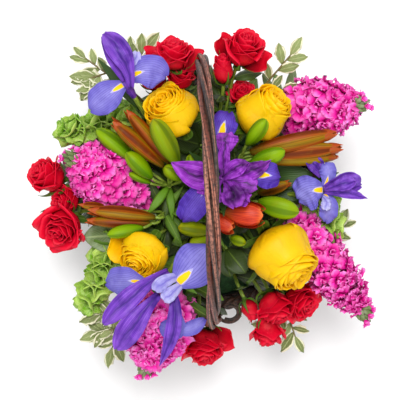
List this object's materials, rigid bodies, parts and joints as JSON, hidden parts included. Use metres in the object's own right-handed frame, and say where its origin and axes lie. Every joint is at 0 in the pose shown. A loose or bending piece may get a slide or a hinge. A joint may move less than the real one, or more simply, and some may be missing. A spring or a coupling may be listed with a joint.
{
  "type": "flower basket arrangement",
  "caption": "Round twig basket with a tall twisted hoop handle, filled with wet foam and a low mixed dome of roses, irises, stock, lily buds and foliage.",
  "frame": {"origin": "middle of the basket's flat underside", "axes": "+Z up; +Y along the handle, towards the side where the top roses stand; +X to the right seen from above with +Y up"},
  "size_m": [0.3925, 0.4027, 0.403],
  "materials": {
    "willow": "dark red-brown willow bark, satin",
    "liner": "thin black plastic sheet",
    "foam": "wet green floral foam, matt and crumbly",
    "yellow_petal": "yellow rose petals, soft satin",
    "red_petal": "red rose petals, velvety",
    "iris_petal": "violet iris petals with a yellow signal patch",
    "pink_petal": "pink stock florets, soft satin",
    "lily_bud": "waxy lily buds, green to orange",
    "bell_green": "green calyx bells with pale veins",
    "variegated_leaf": "grey-green leaves with cream edges",
    "dark_leaf": "glossy dark green leaves"
  },
  "bodies": {
    "root": {"basket_base": "willow", "basket_wall": "willow", "basket_rim": "willow", "handle_rod_1": "willow", "handle_rod_2": "willow", "handle_rod_3": "willow", "handle_rod_4": "willow", "handle_lashing_front": "willow", "handle_lashing_back": "willow", "twig_curl": "willow", "liner": "liner", "foam": "foam", "yellow_rose_upper_left": "yellow_petal", "yellow_rose_upper_right": "yellow_petal", "yellow_rose_lower_left": "yellow_petal", "yellow_rose_lower_right": "yellow_petal", "red_rose_top_left": "red_petal", "red_rose_behind_handle": "red_petal", "red_rose_under_iris": "red_petal", "red_rose_top_right": "red_petal", "red_rose_beside_handle": "red_petal", "red_rose_low_right": "red_petal", "red_rose_far_left": "red_petal", "red_rose_left_bud": "red_petal", "red_rose_low_left": "red_petal", "red_rose_front": "red_petal", "red_bud_by_rim": "red_petal", "red_rose_front_right": "red_petal", "red_rose_right_deep": "red_petal", "red_bud_hanging": "red_petal", "iris_top_left": "iris_petal", "iris_middle": "iris_petal", "iris_right": "iris_petal", "iris_lower_left": "iris_petal", "stock_left": "pink_petal", "stock_upper_right": "pink_petal", "stock_lower_right": "pink_petal", "stock_front_left": "pink_petal", "lily_upper_left": "lily_bud", "lily_upper_right": "lily_bud", "lily_left": "lily_bud", "lily_right": "lily_bud", "alstroemeria_middle": "lily_bud", "bells_upper_left": "bell_green", "bells_lower_left": "bell_green", "bells_right": "bell_green", "pittosporum_top_left": "variegated_leaf", "pittosporum_top_right": "variegated_leaf", "pittosporum_lower_left": "variegated_leaf", "pittosporum_right": "variegated_leaf", "pittosporum_lower_right": "variegated_leaf", "aspidistra_leaf_right": "dark_leaf", "broad_leaf_top": "dark_leaf", "broad_leaf_left": "dark_leaf", "broad_leaf_front": "dark_leaf"}
  },
  "joints": []
}
